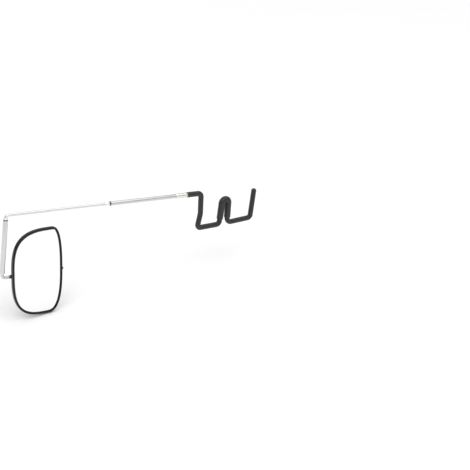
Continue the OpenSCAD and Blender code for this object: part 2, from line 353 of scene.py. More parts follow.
# bends a straight turned piece along a run in the XZ plane. Its straight coordinates stay on
# it as "flow". Flattening presses it oval where the run bends hardest: it loses that share of
# its thickness in the plane, and gains 0.6 of it across the plane
def bendTree():
    tree, given = newTree("bendAlongRun", [
        ("Run", "NodeSocketObject"), ("Flattening", "NodeSocketFloat"), ("Material", "NodeSocketMaterial")])
    place = addNode(tree, "GeometryNodeInputPosition").outputs[0]
    marked = addNode(tree, "GeometryNodeStoreNamedAttribute", {
        "data_type": "FLOAT_VECTOR", "domain": "POINT"}, {
        "Geometry": given["Geometry"], "Name": "flow", "Value": place})
    axes = addNode(tree, "ShaderNodeSeparateXYZ", {}, {0: place}).outputs
    run = addNode(tree, "GeometryNodeObjectInfo", {}, {"Object": given["Run"]})
    line = addNode(tree, "GeometryNodeMeshToCurve", {}, {"Mesh": run.outputs["Geometry"]})
    bend = addNode(tree, "GeometryNodeInputNamedAttribute", {"data_type": "FLOAT"}, {"Name": "bend"})
    sample = addNode(tree, "GeometryNodeSampleCurve", {"mode": "LENGTH", "data_type": "FLOAT"}, {
        "Curves": line.outputs[0], "Value": bend.outputs["Attribute"], "Length": axes[2]})
    along = addNode(tree, "ShaderNodeVectorMath", {"operation": "NORMALIZE"}, {
        0: sample.outputs["Tangent"]})
    across = addNode(tree, "ShaderNodeVectorMath", {"operation": "CROSS_PRODUCT"}, {
        0: (0, 1, 0), 1: along.outputs[0]})
    press = addNode(tree, "ShaderNodeMath", {"operation": "MULTIPLY"}, {
        0: sample.outputs["Value"], 1: given["Flattening"]})
    thin = addNode(tree, "ShaderNodeMath", {"operation": "MULTIPLY_ADD"}, {
        0: press.outputs[0], 1: -1.0, 2: 1.0})
    wide = addNode(tree, "ShaderNodeMath", {"operation": "MULTIPLY_ADD"}, {
        0: press.outputs[0], 1: 0.6, 2: 1.0})
    inPlane = addNode(tree, "ShaderNodeMath", {"operation": "MULTIPLY"}, {
        0: axes[0], 1: thin.outputs[0]})
    outOfPlane = addNode(tree, "ShaderNodeMath", {"operation": "MULTIPLY"}, {
        0: axes[1], 1: wide.outputs[0]})
    rise = addNode(tree, "ShaderNodeCombineXYZ", {}, {1: outOfPlane.outputs[0]})
    offset = addNode(tree, "ShaderNodeVectorMath", {"operation": "MULTIPLY_ADD"}, {
        0: across.outputs[0], 1: inPlane.outputs[0], 2: rise.outputs[0]})
    target = addNode(tree, "ShaderNodeVectorMath", {"operation": "ADD"}, {
        0: sample.outputs["Position"], 1: offset.outputs[0]})
    moved = addNode(tree, "GeometryNodeSetPosition", {}, {
        "Geometry": marked.outputs[0], "Position": target.outputs[0]})
    closeTree(tree, moved.outputs[0], given["Material"])
    return tree


# draws a round turned disc out to the mirror's outline: four quarter curves that meet at the
# highest, the lowest and the two outermost points. How far a point lay inside the disc's edge
# is how far it ends inside the outline, and it stays on the piece as "inset"
def outlineTree():
    tree, given = newTree("drawToOutline", [
        ("Disc Radius", "NodeSocketFloat"), ("Width", "NodeSocketFloat"), ("Height", "NodeSocketFloat"),
        ("Crown", "NodeSocketFloat"), ("Foot", "NodeSocketFloat"), ("Outermost Point", "NodeSocketVector"),
        ("Outer Fullness", "NodeSocketFloat"), ("Inner Fullness", "NodeSocketFloat"),
        ("Material", "NodeSocketMaterial")])
    place = addNode(tree, "GeometryNodeInputPosition").outputs[0]
    flat = addNode(tree, "ShaderNodeVectorMath", {"operation": "MULTIPLY"}, {0: place, 1: (1, 1, 0)})
    depth = addNode(tree, "ShaderNodeVectorMath", {"operation": "MULTIPLY"}, {0: place, 1: (0, 0, 1)})
    radius = addNode(tree, "ShaderNodeVectorMath", {"operation": "LENGTH"}, {0: flat.outputs[0]})
    inset = addNode(tree, "ShaderNodeMath", {"operation": "SUBTRACT"}, {
        0: given["Disc Radius"], 1: radius.outputs["Value"]})
    marked = addNode(tree, "GeometryNodeStoreNamedAttribute", {"data_type": "FLOAT", "domain": "POINT"}, {
        "Geometry": given["Geometry"], "Name": "inset", "Value": inset.outputs[0]})
    facing = addNode(tree, "ShaderNodeVectorMath", {"operation": "NORMALIZE"}, {0: flat.outputs[0]})
    turn = addNode(tree, "ShaderNodeSeparateXYZ", {}, {0: facing.outputs[0]}).outputs
    outer = addNode(tree, "FunctionNodeCompare", {"operation": "LESS_THAN"}, {0: turn[0], 1: 0.0})
    lower = addNode(tree, "FunctionNodeCompare", {"operation": "LESS_THAN"}, {0: turn[1], 1: 0.0})
    summit = addNode(tree, "GeometryNodeSwitch", {"input_type": "FLOAT"}, {
        "Switch": lower.outputs[0], "False": given["Crown"], "True": given["Foot"]})
    inner = addNode(tree, "ShaderNodeMath", {"operation": "SUBTRACT"}, {0: 1.0, 1: summit.outputs[0]})
    share = addNode(tree, "GeometryNodeSwitch", {"input_type": "FLOAT"}, {
        "Switch": outer.outputs[0], "False": inner.outputs[0], "True": summit.outputs[0]})
    fullness = addNode(tree, "GeometryNodeSwitch", {"input_type": "FLOAT"}, {
        "Switch": outer.outputs[0], "False": given["Inner Fullness"], "True": given["Outer Fullness"]})
    halfWidth = addNode(tree, "ShaderNodeMath", {"operation": "MULTIPLY"}, {
        0: given["Width"], 1: share.outputs[0]})
    halfHeight = addNode(tree, "ShaderNodeMath", {"operation": "MULTIPLY"}, {0: given["Height"], 1: 0.5})
    power = addNode(tree, "ShaderNodeMath", {"operation": "DIVIDE"}, {0: 2.0, 1: fullness.outputs[0]})
    normalPower = addNode(tree, "ShaderNodeMath", {"operation": "SUBTRACT"}, {0: 2.0, 1: power.outputs[0]})
    bows, slopes = [], []
    for axis, half in ((0, halfWidth.outputs[0]), (1, halfHeight.outputs[0])):
        sign = addNode(tree, "ShaderNodeMath", {"operation": "SIGN"}, {0: turn[axis]})
        size = addNode(tree, "ShaderNodeMath", {"operation": "ABSOLUTE"}, {0: turn[axis]})
        bow = addNode(tree, "ShaderNodeMath", {"operation": "POWER"}, {
            0: size.outputs[0], 1: power.outputs[0]})
        reach = addNode(tree, "ShaderNodeMath", {"operation": "MULTIPLY"}, {0: bow.outputs[0], 1: half})
        bows.append(addNode(tree, "ShaderNodeMath", {"operation": "MULTIPLY"}, {
            0: reach.outputs[0], 1: sign.outputs[0]}).outputs[0])
        slope = addNode(tree, "ShaderNodeMath", {"operation": "POWER"}, {
            0: size.outputs[0], 1: normalPower.outputs[0]})
        steep = addNode(tree, "ShaderNodeMath", {"operation": "DIVIDE"}, {0: slope.outputs[0], 1: half})
        slopes.append(addNode(tree, "ShaderNodeMath", {"operation": "MULTIPLY"}, {
            0: steep.outputs[0], 1: sign.outputs[0]}).outputs[0])
    edge = addNode(tree, "ShaderNodeCombineXYZ", {}, {0: bows[0], 1: bows[1]})
    slant = addNode(tree, "ShaderNodeCombineXYZ", {}, {0: slopes[0], 1: slopes[1]})
    outward = addNode(tree, "ShaderNodeVectorMath", {"operation": "NORMALIZE"}, {0: slant.outputs[0]})
    inward = addNode(tree, "ShaderNodeMath", {"operation": "MULTIPLY"}, {0: inset.outputs[0], 1: -1.0})
    pulled = addNode(tree, "ShaderNodeVectorMath", {"operation": "MULTIPLY_ADD"}, {
        0: outward.outputs[0], 1: inward.outputs[0], 2: edge.outputs[0]})
    across = addNode(tree, "ShaderNodeMath", {"operation": "MULTIPLY"}, {
        0: given["Width"], 1: summit.outputs[0]})
    middle = addNode(tree, "ShaderNodeCombineXYZ", {}, {0: across.outputs[0]})
    start = addNode(tree, "ShaderNodeVectorMath", {"operation": "ADD"}, {
        0: given["Outermost Point"], 1: middle.outputs[0]})
    centred = addNode(tree, "ShaderNodeVectorMath", {"operation": "ADD"}, {
        0: pulled.outputs[0], 1: start.outputs[0]})
    target = addNode(tree, "ShaderNodeVectorMath", {"operation": "ADD"}, {
        0: centred.outputs[0], 1: depth.outputs[0]})
    moved = addNode(tree, "GeometryNodeSetPosition", {}, {
        "Geometry": marked.outputs[0], "Position": target.outputs[0]})
    closeTree(tree, moved.outputs[0], given["Material"])
    return tree


# an object for a mesh, linked to the scene
def newObject(name, mesh):
    piece = bpy.data.objects.new(name, mesh)
    bpy.context.scene.collection.objects.link(piece)
    return piece


# runs a node tree on a piece and keeps the result as its plain mesh
def shapeWith(piece, tree, values):
    modifier = piece.modifiers.new(tree.name, "NODES")
    modifier.node_group = tree
    for socket in tree.interface.items_tree:
        if socket.in_out == "INPUT" and socket.name in values:
            modifier[socket.identifier] = values[socket.name]
    shaped = piece.evaluated_get(bpy.context.evaluated_depsgraph_get())
    mesh = bpy.data.meshes.new_from_object(shaped)
    piece.modifiers.remove(modifier)
    piece.data = mesh


# puts a finished piece on the body that it rides on, and hides the CAD nodes that it stands for
def settle(piece, body, slot, *nodes):
    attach(piece, body)
    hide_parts(*nodes)


# a turned piece bent along its run
def bentPiece(name, profile, run, material, flattening=0.0, sides=48):
    line = bpy.data.meshes.new(name + "Run")
    last = len(run["points"]) - 1
    line.from_pydata([point * mm for point in run["points"]], [(i, i + 1) for i in range(last)], [])
    line.attributes.new("bend", "FLOAT", "POINT").data.foreach_set("value", run["bend"])
    guide = newObject(name + "Run", line)
    piece = newObject(name, turned(name, profile, sides))
    shapeWith(piece, bendAlongRun, {"Run": guide, "Flattening": flattening, "Material": material})
    bpy.data.objects.remove(guide)
    return piece


# a turned piece on a straight axis. Its guide line runs on a little past it
def straightPiece(name, profile, start, axis, material):
    end = start + axis * (max(height for radius, height in profile) + 1)
    return bentPiece(name, profile, roundedRun([(start.x, start.z), (end.x, end.z)], []), material)


bendAlongRun = bendTree()
drawToOutline = outlineTree()


# the corners that the clip's wire is bent round, as (x, z) points
clipPath = {
    "mouth": (-27.4, 19.3),     # the end of the arm tube that it comes out of
    "corners": [(-17.293, 18.362), (-17.5, 5.5), (-19.7, -3.4), (-3.4, -4.3), (-1.5, 11.0),
                (3.1, 11.0), (2.5, -4.5), (20.5, -4.9), (22.6, 12.4)],
    "bends": [2.3, 8, 1.9, 2.2, 2.4, 2.1, 3, 2.2],
    "loop": slice(3, 7),        # the corners of the gripping loop
    "loopBends": slice(4, 6),
}


# lengthens a run of corners past its end, so that a rounded tip has something to follow
def runOn(corners, extra):
    (x0, z0), (x1, z1) = corners[-2:]
    scale = 1 + extra / math.hypot(x1 - x0, z1 - z0)
    return corners[:-1] + [(x0 + (x1 - x0) * scale, z0 + (z1 - z0) * scale)]


# the sleeve covers the wire from the arm tube to the free tip, where it is closed and round
sleeve = {
    "outside": 3.2,
    "bore": 1.66,
    "gap": 0.1,                 # to the arm tube, and past the wire's end
    "cutEdge": 0.14,
    "cutShows": 0.9,            # share of the rounded cut edge that is as dull as the cut face
    "flattening": 0.045,        # how oval it presses in a tight bend
    "colour": "#171718",
}


def makeSleeve():
    mouth, first = (Vector((x, 0, z)) for x, z in (clipPath["mouth"], clipPath["corners"][0]))
    start = mouth + (first - mouth).normalized() * sleeve["gap"]
    spare = sleeve["outside"]  # more than the round tip needs to follow
    run = roundedRun(runOn([(start.x, start.z)] + clipPath["corners"], spare), clipPath["bends"])
    tip = run["lengths"][-1] - spare
    outer, bore, edge = sleeve["outside"] / 2, sleeve["bore"] / 2, sleeve["cutEdge"]
    blind = tip + sleeve["gap"]
    profile = [(0, blind)] + wall(bore, run, blind, edge)
    profile += arc(bore + edge, edge, edge, 180, 270, 4) + arc(outer - edge, edge, edge, -90, 0, 4)
    profile += wall(outer, run, edge, tip)[1:] + arc(0, tip, outer, 0, 90, 12)[1:-1] + [(0, tip + outer)]
    vinyl = softVinyl("extruded soft vinyl", sleeve["colour"], (edge * sleeve["cutShows"], farAway))
    piece = bentPiece("clipSleeve", profile, run, vinyl, sleeve["flattening"])
    settle(piece, "clip", "vinyl_sleeve", "clip_sleeve")
    print("sleeve:", round(tip + outer, 1), "mm long")


# the sprung wire inside it, which goes on into the arm tube
wire = {
    "inTube": 12.0,
    "endEdge": 0.1,
    "colour": "#b9b9b6",
}


def makeWire():
    inTube = Vector((clipPath["mouth"][0], 0, clipPath["mouth"][1])) + armAxis * wire["inTube"]
    run = roundedRun([(inTube.x, inTube.z)] + clipPath["corners"], clipPath["bends"])
    steel = stainless("drawn spring wire", wire["colour"], "drawnWire")
    profile = barProfile(stock["rod"], run, wire["endEdge"])
    piece = bentPiece("clipWire", profile, run, steel, sides=32)
    settle(piece, "clip", "spring_wire", "clip_wire")
    print("wire:", round(run["lengths"][-1], 1), "mm long")


# a second, thicker sleeve on the gripping loop
grip = {
    "outside": 4.0,
    "clearance": 0.04,          # over the first sleeve
    "endHeight": -0.9,          # it ends at this height on both legs
    "cutEdge": 0.14,
    "cutShows": 0.9,
    "flattening": 0.045,
    "colour": "#161617",
}


def makeGrip():
    leftFoot, leftTop, rightTop, rightFoot = clipPath["corners"][clipPath["loop"]]
    ends = []
    for foot, top in ((leftFoot, leftTop), (rightFoot, rightTop)):
        share = (grip["endHeight"] - foot[1]) / (top[1] - foot[1])
        ends.append((foot[0] + (top[0] - foot[0]) * share, grip["endHeight"]))
    run = roundedRun([ends[0], leftTop, rightTop, ends[1]], clipPath["bends"][clipPath["loopBends"]])
    length, edge = run["lengths"][-1], grip["cutEdge"]
    outer, bore = grip["outside"] / 2, sleeve["outside"] / 2 + grip["clearance"]
    profile = arc(bore + edge, edge, edge, 180, 270, 4) + arc(outer - edge, edge, edge, -90, 0, 4)
    profile += wall(outer, run, edge, length - edge)[1:-1]
    profile += arc(outer - edge, length - edge, edge, 0, 90, 4)
    profile += arc(bore + edge, length - edge, edge, 90, 180, 4)
    profile += wall(bore, run, length - edge, edge)[1:-1]
    cutEnds = (edge * grip["cutShows"], length - edge * grip["cutShows"])
    vinyl = softVinyl("extruded soft vinyl, second sleeve", grip["colour"], cutEnds)
    piece = bentPiece("loopGrip", profile, run, vinyl, grip["flattening"])
    settle(piece, "clip", "vinyl_grip", "loop_grip")
    print("grip:", round(length, 1), "mm long")


armTube = {
    "length": 50.8,
    "edge": 0.12,
    "colour": "#d3d2d2",
}


def makeArmTube():
    start = armMouth - armAxis * armTube["length"]
    profile = ringProfile(stock["armTube"], stock["tubeBore"], armTube["length"], armTube["edge"],
                          stock["tubeBoreEdge"])
    steel = stainless("drawn stainless tube", armTube["colour"], "drawnTube")
    piece = straightPiece("armTube", profile, start, armAxis, steel)
    settle(piece, "clip", "tube_metal", "arm_tube")
    print("arm tube: done")


# the ferrule that crimps the tube to the wire: sloped shoulders with their corners rounded, and
# two shallow swaged bands
ferrule = {
    "outside": 2.9,
    "length": 8.0,
    "clearance": 0.01,          # over the tube
    "lip": 0.1,                 # thickness at both ends
    "boreEdge": (0.04, 0.05),   # across and along
    "lipEdge": (0.03, 0.04),
    "shoulder": 0.6,
    "shoulderEdge": (0.03, 0.06, 0.08),     # across, along on the slope, along on the barrel
    "crimps": (2.4, 5.6),       # middles of the swaged bands
    "crimpWidth": 1.0,
    "crimpDepth": 0.07,
    "crimpSteps": 6,
    "colour": "#e9e5df",
}


def makeFerrule():
    outer, length = ferrule["outside"] / 2, ferrule["length"]
    bore = stock["armTube"] / 2 + ferrule["clearance"]
    lip = bore + ferrule["lip"]
    (borePart, boreRise), (lipPart, lipRise) = ferrule["boreEdge"], ferrule["lipEdge"]
    across, below, above = ferrule["shoulderEdge"]
    low, high, steps = ferrule["shoulder"], length - ferrule["shoulder"], ferrule["crimpSteps"]
    profile = [(bore, boreRise), (bore + borePart, 0), (lip, 0), (lip + lipPart, lipRise)]
    profile += [(outer - across, low - below), (outer, low + above)]
    for middle in ferrule["crimps"]:
        for k in range(-steps, steps + 1):
            sink = ferrule["crimpDepth"] * (0.5 + 0.5 * math.cos(math.pi * k / steps))
            profile.append((outer - sink, middle + ferrule["crimpWidth"] / 2 * k / steps))
    profile += [(outer, high - above), (outer - across, high + below)]
    profile += [(lip + lipPart, length - lipRise), (lip, length)]
    profile += [(bore + borePart, length), (bore, length - boreRise)]
    steel = stainless("swaged bright ferrule", ferrule["colour"], "swaged")
    start = armMouth - armAxis * armTube["length"]
    piece = straightPiece("clipFerrule", profile, start, armAxis, steel)
    settle(piece, "clip", "ferrule_metal", "clip_ferrule")
    print("ferrule:", len(ferrule["crimps"]), "swaged bands")


# the dark ring on the mouth of the arm tube, which drags on the rod
armRing = {
    "outside": 2.5,
    "length": 0.8,
    "edge": 0.3,
    "colour": "#5c5c5f",
}


def makeArmRing():
    profile = ringProfile(armRing["outside"], stock["turningBore"], armRing["length"], armRing["edge"],
                          stock["boreEdge"])
    rubber = mouldedSkin("nitrile ring", armRing["colour"])
    piece = straightPiece("armFrictionRing", profile, armMouth, armAxis, rubber)
    settle(piece, "clip", "ring_rubber", "arm_friction_ring")
    print("arm ring: done")


# the bright collar that stops the rod from sliding into the tube
armCollar = {
    "outside": 2.35,
    "length": 3.0,
    "gap": 0.05,
    "edge": 0.2,
    "colour": "#f5f5f3",
}


def makeArmCollar():
    start = armMouth + armAxis * (armRing["length"] + armCollar["gap"])
    profile = ringProfile(armCollar["outside"], stock["fixedBore"], armCollar["length"], armCollar["edge"],
                          stock["boreEdge"])
    steel = stainless("turned bright collar", armCollar["colour"], "turned")
    piece = straightPiece("armCollar", profile, start, armAxis, steel)
    settle(piece, "rod", "collar_metal", "arm_collar")
    print("arm collar: done")


# the rod that turns in both tubes, with an upset head in each
swivelRod = {
    "bend": 1.5,
    "flattening": 0.02,
    "head": 1.84,
    "headLength": 0.8,
    "headEdge": 0.15,
    "headSlope": 0.05,
    "intoArm": 9.2,             # from the arm tube's mouth back to the end of the head
    "intoHanger": 12.0,         # from the corner down to the end of the other head
    "colour": "#e4e3e4",
}


def makeSwivelRod():
    start = armMouth - armAxis * swivelRod["intoArm"]
    end = rodCorner + hangerAxis * swivelRod["intoHanger"]
    corners = [(start.x, start.z), (rodCorner.x, rodCorner.z), (end.x, end.z)]
    run = roundedRun(corners, [swivelRod["bend"]])
    length, r, head = run["lengths"][-1], stock["rod"] / 2, swivelRod["head"] / 2
    neck, edge, slope = swivelRod["headLength"], swivelRod["headEdge"], swivelRod["headSlope"]
    profile = [(0, 0)] + arc(head - edge, edge, edge, -90, 0, 4) + [(head, neck - slope), (r, neck)]
    profile += wall(r, run, neck, length - neck)[1:]
    profile += [(head, length - neck + slope)] + arc(head - edge, length - edge, edge, 0, 90, 4)
    steel = stainless("drawn stainless rod", swivelRod["colour"], "drawnRod")
    piece = bentPiece("swivelRod", profile + [(0, length)], run, steel, swivelRod["flattening"], 40)
    settle(piece, "rod", "rod_metal", "swivel_rod")
    print("swivel rod:", round(length, 1), "mm long")


# the small collar on the rod's bent leg
hangerCollar = {
    "outside": 2.25,
    "length": 0.7,
    "fromCorner": 1.55,
    "edge": 0.2,
    "colour": "#f5f5f3",
}


def makeHangerCollar():
    start = rodCorner + hangerAxis * hangerCollar["fromCorner"]
    profile = ringProfile(hangerCollar["outside"], stock["fixedBore"], hangerCollar["length"],
                          hangerCollar["edge"], stock["boreEdge"])
    steel = stainless("turned bright hanger collar", hangerCollar["colour"], "turned")
    piece = straightPiece("hangerCollar", profile, start, hangerAxis, steel)
    settle(piece, "rod", "collar_metal", "hanger_collar")
    print("hanger collar: done")


# the short tube that turns on the rod's bent leg
hangerTube = {
    "length": 29.0,
    "fromCorner": 2.8,
    "edge": 0.12,
    "colour": "#d6d5d6",
}


def makeHangerTube():
    top = rodCorner + hangerAxis * hangerTube["fromCorner"]
    profile = ringProfile(stock["hangerTube"], stock["tubeBore"], hangerTube["length"],
                          hangerTube["edge"], stock["tubeBoreEdge"])
    steel = stainless("drawn stainless hanger tube", hangerTube["colour"], "drawnTube")
    piece = straightPiece("hangerTube", profile, top, hangerAxis, steel)
    settle(piece, "hanger", "tube_metal", "hanger_tube")
    print("hanger tube: done")


# the thin dark ring on top of it
hangerRing = {
    "outside": 2.5,
    "length": 0.5,
    "edge": 0.25,
    "colour": "#727275",
}


def makeHangerRing():
    start = rodCorner + hangerAxis * (hangerTube["fromCorner"] - hangerRing["length"])
    profile = ringProfile(hangerRing["outside"], stock["turningBore"], hangerRing["length"],
                          hangerRing["edge"], stock["boreEdge"])
    rubber = mouldedSkin("nitrile hanger ring", hangerRing["colour"])
    piece = straightPiece("hangerFrictionRing", profile, start, hangerAxis, rubber)
    settle(piece, "hanger", "ring_rubber", "hanger_friction_ring")
    print("hanger ring: done")


# the bent rod that carries the mirror, and the dark cap on its end
mirrorRod = {
    "fromCorner": 21.8,         # from the swivel rod's corner down to its upper end
    "drop": 34.5,               # and down to its own bend
    "bend": 1.6,
    "flattening": 0.02,
    "endEdge": 0.1,
    "toFrame": 5.4,             # from its bend along to the mirror's edge
    "colour": "#d2d1d2",
}
endCap = {
    "fromFrame": 27.85,         # from the mirror's outer edge along to its mouth
    "outside": 2.2,
    "length": 1.6,
    "wall": 0.6,
    "rimEdge": 0.14,
    "rimInside": 0.08,
    "rimLength": 0.34,          # the fuller rim runs this far, then slopes down to the skirt
    "skirtFrom": 0.5,
    "skirtDrop": 0.06,
    "cutShows": 0.02,           # how far the dull face of its mouth goes along it
    "colour": "#1a1a1b",
}


def makeMirrorRod():
    start = rodCorner + hangerAxis * mirrorRod["fromCorner"]
    corner = rodCorner + hangerAxis * mirrorRod["drop"]
    intoCap = endCap["fromFrame"] + endCap["length"] - endCap["wall"]
    end = corner + crossAxis * (mirrorRod["toFrame"] + intoCap)
    run = roundedRun([(start.x, start.z), (corner.x, corner.z), (end.x, end.z)], [mirrorRod["bend"]])
    profile = barProfile(stock["rod"], run, mirrorRod["endEdge"])
    steel = stainless("drawn stainless mirror rod", mirrorRod["colour"], "drawnRod")
    piece = bentPiece("mirrorRod", profile, run, steel, mirrorRod["flattening"], 40)
    settle(piece, "hanger", "rod_metal", "mirror_rod")
    print("mirror rod:", round(run["lengths"][-1], 1), "mm long")


def makeEndCap():
    start = frameEdge + crossAxis * endCap["fromFrame"]
    r, bore, length = endCap["outside"] / 2, stock["fixedBore"] / 2, endCap["length"]
    skirt, edge = r - endCap["skirtDrop"], endCap["rimEdge"]
    blind = length - endCap["wall"]
    profile = [(0, blind), (bore, blind), (bore, endCap["rimInside"])]
    profile += arc(r - edge, edge, edge, -120, 0, 6)
    profile += [(r, endCap["rimLength"]), (skirt, endCap["skirtFrom"]), (skirt, length - r)]
    profile += arc(0, length - skirt, skirt, 0, 90, 10)[1:-1] + [(0, length)]
    vinyl = softVinyl("dipped vinyl cap", endCap["colour"], (endCap["cutShows"], farAway))
    piece = straightPiece("rodEndCap", profile, start, crossAxis, vinyl)
    settle(piece, "hanger", "cap_vinyl", "rod_end_cap")
    print("end cap: done")


# the outline and the layers that the mirror's pieces share. Its own axes run along the cross
# rod, up the glass and out of it
mirror = {
    "width": 28.4,
    "height": 48.0,
    "outermost": (-0.75, 0.85), # the outline's outermost point, along the cross rod and above it
    "crown": 0.8,               # shares of the width outside the highest and the lowest point
    "foot": 0.7,
    "outerFullness": 3.1,       # 2 gives an ellipse and more gives squarer corners
    "innerFullness": 2.6,
    "tilt": 4.0,
    "disc": 10.0,               # radius of the plain disc that each piece is drawn out from
    "sides": 256,
    "back": 1.0,                # heights above the cross rod's axis
    "front": 3.2,
    "lipWidth": 1.05,
    "lipDepth": 0.5,
    "wall": 0.55,
    "gap": 0.03,                # from the frame's wall to the glass and the plate
    "plate": 0.6,
    "tape": 0.2,
}


def mirrorPlace():
    tilt, level = math.radians(mirror["tilt"]), Vector((0, 1, 0))
    up = crossAxis.cross(level).normalized() * math.cos(tilt) + level * math.sin(tilt)
    place = Matrix((crossAxis, up, crossAxis.cross(up))).transposed().to_4x4()
    place.translation = frameEdge * mm
    return place


# a disc's profile drawn to the outline, and the result set in the mirror's place
def framedPiece(name, profile, material, flatEnds=False):
    piece = newObject(name, turned(name, profile, mirror["sides"], flatEnds))
    shapeWith(piece, drawToOutline, {
        "Disc Radius": mirror["disc"] * mm, "Width": mirror["width"] * mm,
        "Height": mirror["height"] * mm, "Crown": mirror["crown"], "Foot": mirror["foot"],
        "Outermost Point": [mirror["outermost"][0] * mm, mirror["outermost"][1] * mm, 0],
        "Outer Fullness": mirror["outerFullness"], "Inner Fullness": mirror["innerFullness"],
        "Material": material})
    piece.data.transform(mirrorPlace())
    return piece


# the frame: a wall round the edge and a narrow lip over the glass
mirrorFrame = {
    "backEdge": 0.15,
    "frontEdge": 0.5,
    "lipEdge": 0.2,
    "seatEdge": 0.02,           # the sharp corners that hold the glass
    "wallEdge": 0.05,
    "colour": "#0a0a0b",
}


def makeMirrorFrame():
    disc, back, front = mirror["disc"], mirror["back"], mirror["front"]
    inner, seat, under = disc - mirror["lipWidth"], disc - mirror["wall"], front - mirror["lipDepth"]
    low, high, lip = mirrorFrame["backEdge"], mirrorFrame["frontEdge"], mirrorFrame["lipEdge"]
    small, soft = mirrorFrame["seatEdge"], mirrorFrame["wallEdge"]
    profile = arc(disc - low, back + low, low, -90, 0, 3) + arc(disc - high, front - high, high, 0, 90, 8)
    profile += arc(inner + lip, front - lip, lip, 90, 180, 5)
    profile += [(inner, under + small), (inner + small, under), (seat - small, under)]
    profile += [(seat, under - small), (seat, back + soft), (seat + soft, back)]
    gloss = mouldedAbs("polished black ABS", mirrorFrame["colour"], rough=(0.12, 0.22), grain=1.2,
                       height=0.0015, shine=0.28)
    piece = framedPiece("mirrorFrame", profile, gloss)
    settle(piece, "mirror", "frame_plastic", "mirror_frame")
    print("mirror frame:", mirror["width"], "by", mirror["height"], "mm")


# the glass: a flat face, a shallow ground bevel that runs out under the lip, and a flat back
mirrorGlass = {
    "under": 0.01,              # below the lip
    "bevelWidth": 0.9,          # the part of the bevel that shows inside the lip
    "bevelDrop": 0.035,
    "bevelStart": (0.08, 0.006),
    "frontEdge": 0.11,
    "backEdge": 0.1,
    # how far in from the lip the painted lip shade fades out
    "lipShadeFade": 0.55,
    "colour": "#f9faf9",
}


def makeMirrorGlass():
    edge = mirror["disc"] - mirror["wall"] - mirror["gap"]
    face = mirror["front"] - mirror["lipDepth"] - mirrorGlass["under"]
    rear = mirror["back"] + mirror["plate"] + mirror["tape"]
    bevel = mirror["disc"] - mirror["lipWidth"] - mirrorGlass["bevelWidth"]
    (across, down), corner = mirrorGlass["bevelStart"], mirrorGlass["backEdge"]
    profile = [(edge - corner, rear), (edge, rear + corner), (edge, face - mirrorGlass["frontEdge"])]
    profile += [(edge - corner, face - mirrorGlass["bevelDrop"]), (bevel + across, face - down)]
    # the band of painted lip shade, from the lip's edge inwards
    lipShadeBand = (mirror["lipWidth"], mirror["lipWidth"] + mirrorGlass["lipShadeFade"])
    silver = silveredGlass("silvered float glass", mirrorGlass["colour"], lipShadeBand)
    piece = framedPiece("mirrorGlass", profile + [(bevel, face)], silver, True)
    settle(piece, "mirror", "mirror_glass", "mirror_glass")
    print("mirror glass: done")


# the back plate with a rounded outer edge, and the barrel that the cross rod runs through
mirrorBack = {
    "frontEdge": 0.1,
    "backEdge": 0.2,
    "barrel": 3.1,
    "barrelInset": 1.2,
    "barrelEdge": 0.12,
    "barrelRoot": 0.1,          # how far it goes into the plate
    "fillet": 0.9,
    "linerFit": 0.01,
    "colour": "#121213",
}
pivotLiner = {
    "outside": 1.96,
    "from": -1.1,
    "shortBy": 0.8,             # it stops this far inside the outline's inner side
    "edge": 0.06,
    "colour": "#1c1c1d",
}


def makeMirrorBack():
    edge = mirror["disc"] - mirror["wall"] - mirror["gap"]
    back, top = mirror["back"], mirror["back"] + mirror["plate"]
    small, soft = mirrorBack["frontEdge"], mirrorBack["backEdge"]
    profile = [(edge - small, top), (edge, top - small)] + arc(edge - soft, back + soft, soft, 0, -90, 4)
    grained = mouldedAbs("sparked black ABS", mirrorBack["colour"], rough=(0.42, 0.6), grain=0.22,
                         height=0.012, shine=0.5)
    plate = framedPiece("mirrorBack", profile, grained, True)
    joinBarrel(plate)
    settle(plate, "mirror", "back_plastic", "mirror_back")
    print("mirror back: done")


# the barrel: a round bar that flows into the plate with a fillet on each side
def joinBarrel(plate):
    r, fillet, back = mirrorBack["barrel"] / 2, mirrorBack["fillet"], mirror["back"]
    root, drop = back + mirrorBack["barrelRoot"], back - fillet
    foot = math.sqrt((r + fillet) ** 2 - drop ** 2)
    turn = math.degrees(math.atan2(drop, foot))
    section = [(foot, root)] + arc(foot, drop, fillet, 90, 180 + turn, 10)
    section += arc(0, 0, r, turn, -180 - turn, 32)[1:-1]
    section += arc(-foot, drop, fillet, -turn, 90, 10) + [(-foot, root)]
    bore = arc(0, 0, pivotLiner["outside"] / 2 + mirrorBack["linerFit"], 0, 360, 32)[:-1]
    first = mirror["outermost"][0] + mirrorBack["barrelInset"]
    last = mirror["outermost"][0] + mirror["width"] - mirrorBack["barrelInset"]
    form = bmesh.new()
    shells = []
    for shape in (section, bore):
        shells.append([[form.verts.new((x * mm, y * mm, z * mm)) for y, z in shape] for x in (first, last)])
    for near, far in shells:
        for k in range(len(near)):
            j = (k + 1) % len(near)
            form.faces.new((near[k], near[j], far[j], far[k]))
    for end in (0, 1):
        rims = [e for e in form.edges if all(v in shells[0][end] or v in shells[1][end] for v in e.verts)]
        bmesh.ops.triangle_fill(form, use_beauty=True, edges=rims)
    bmesh.ops.recalc_face_normals(form, faces=form.faces)
    corners = [e for e in form.edges if e.calc_face_angle(0) > math.radians(60)]
    bmesh.ops.bevel(form, geom=corners, offset=mirrorBack["barrelEdge"] * mm, segments=3,
                    affect="EDGES", clamp_overlap=True)
    bmesh.ops.remove_doubles(form, verts=form.verts, dist=0.001 * mm)
    markEdges(form, 30)
    bmesh.ops.transform(form, matrix=mirrorPlace(), verts=form.verts)
    form.from_mesh(plate.data)
    form.to_mesh(plate.data)
    form.free()


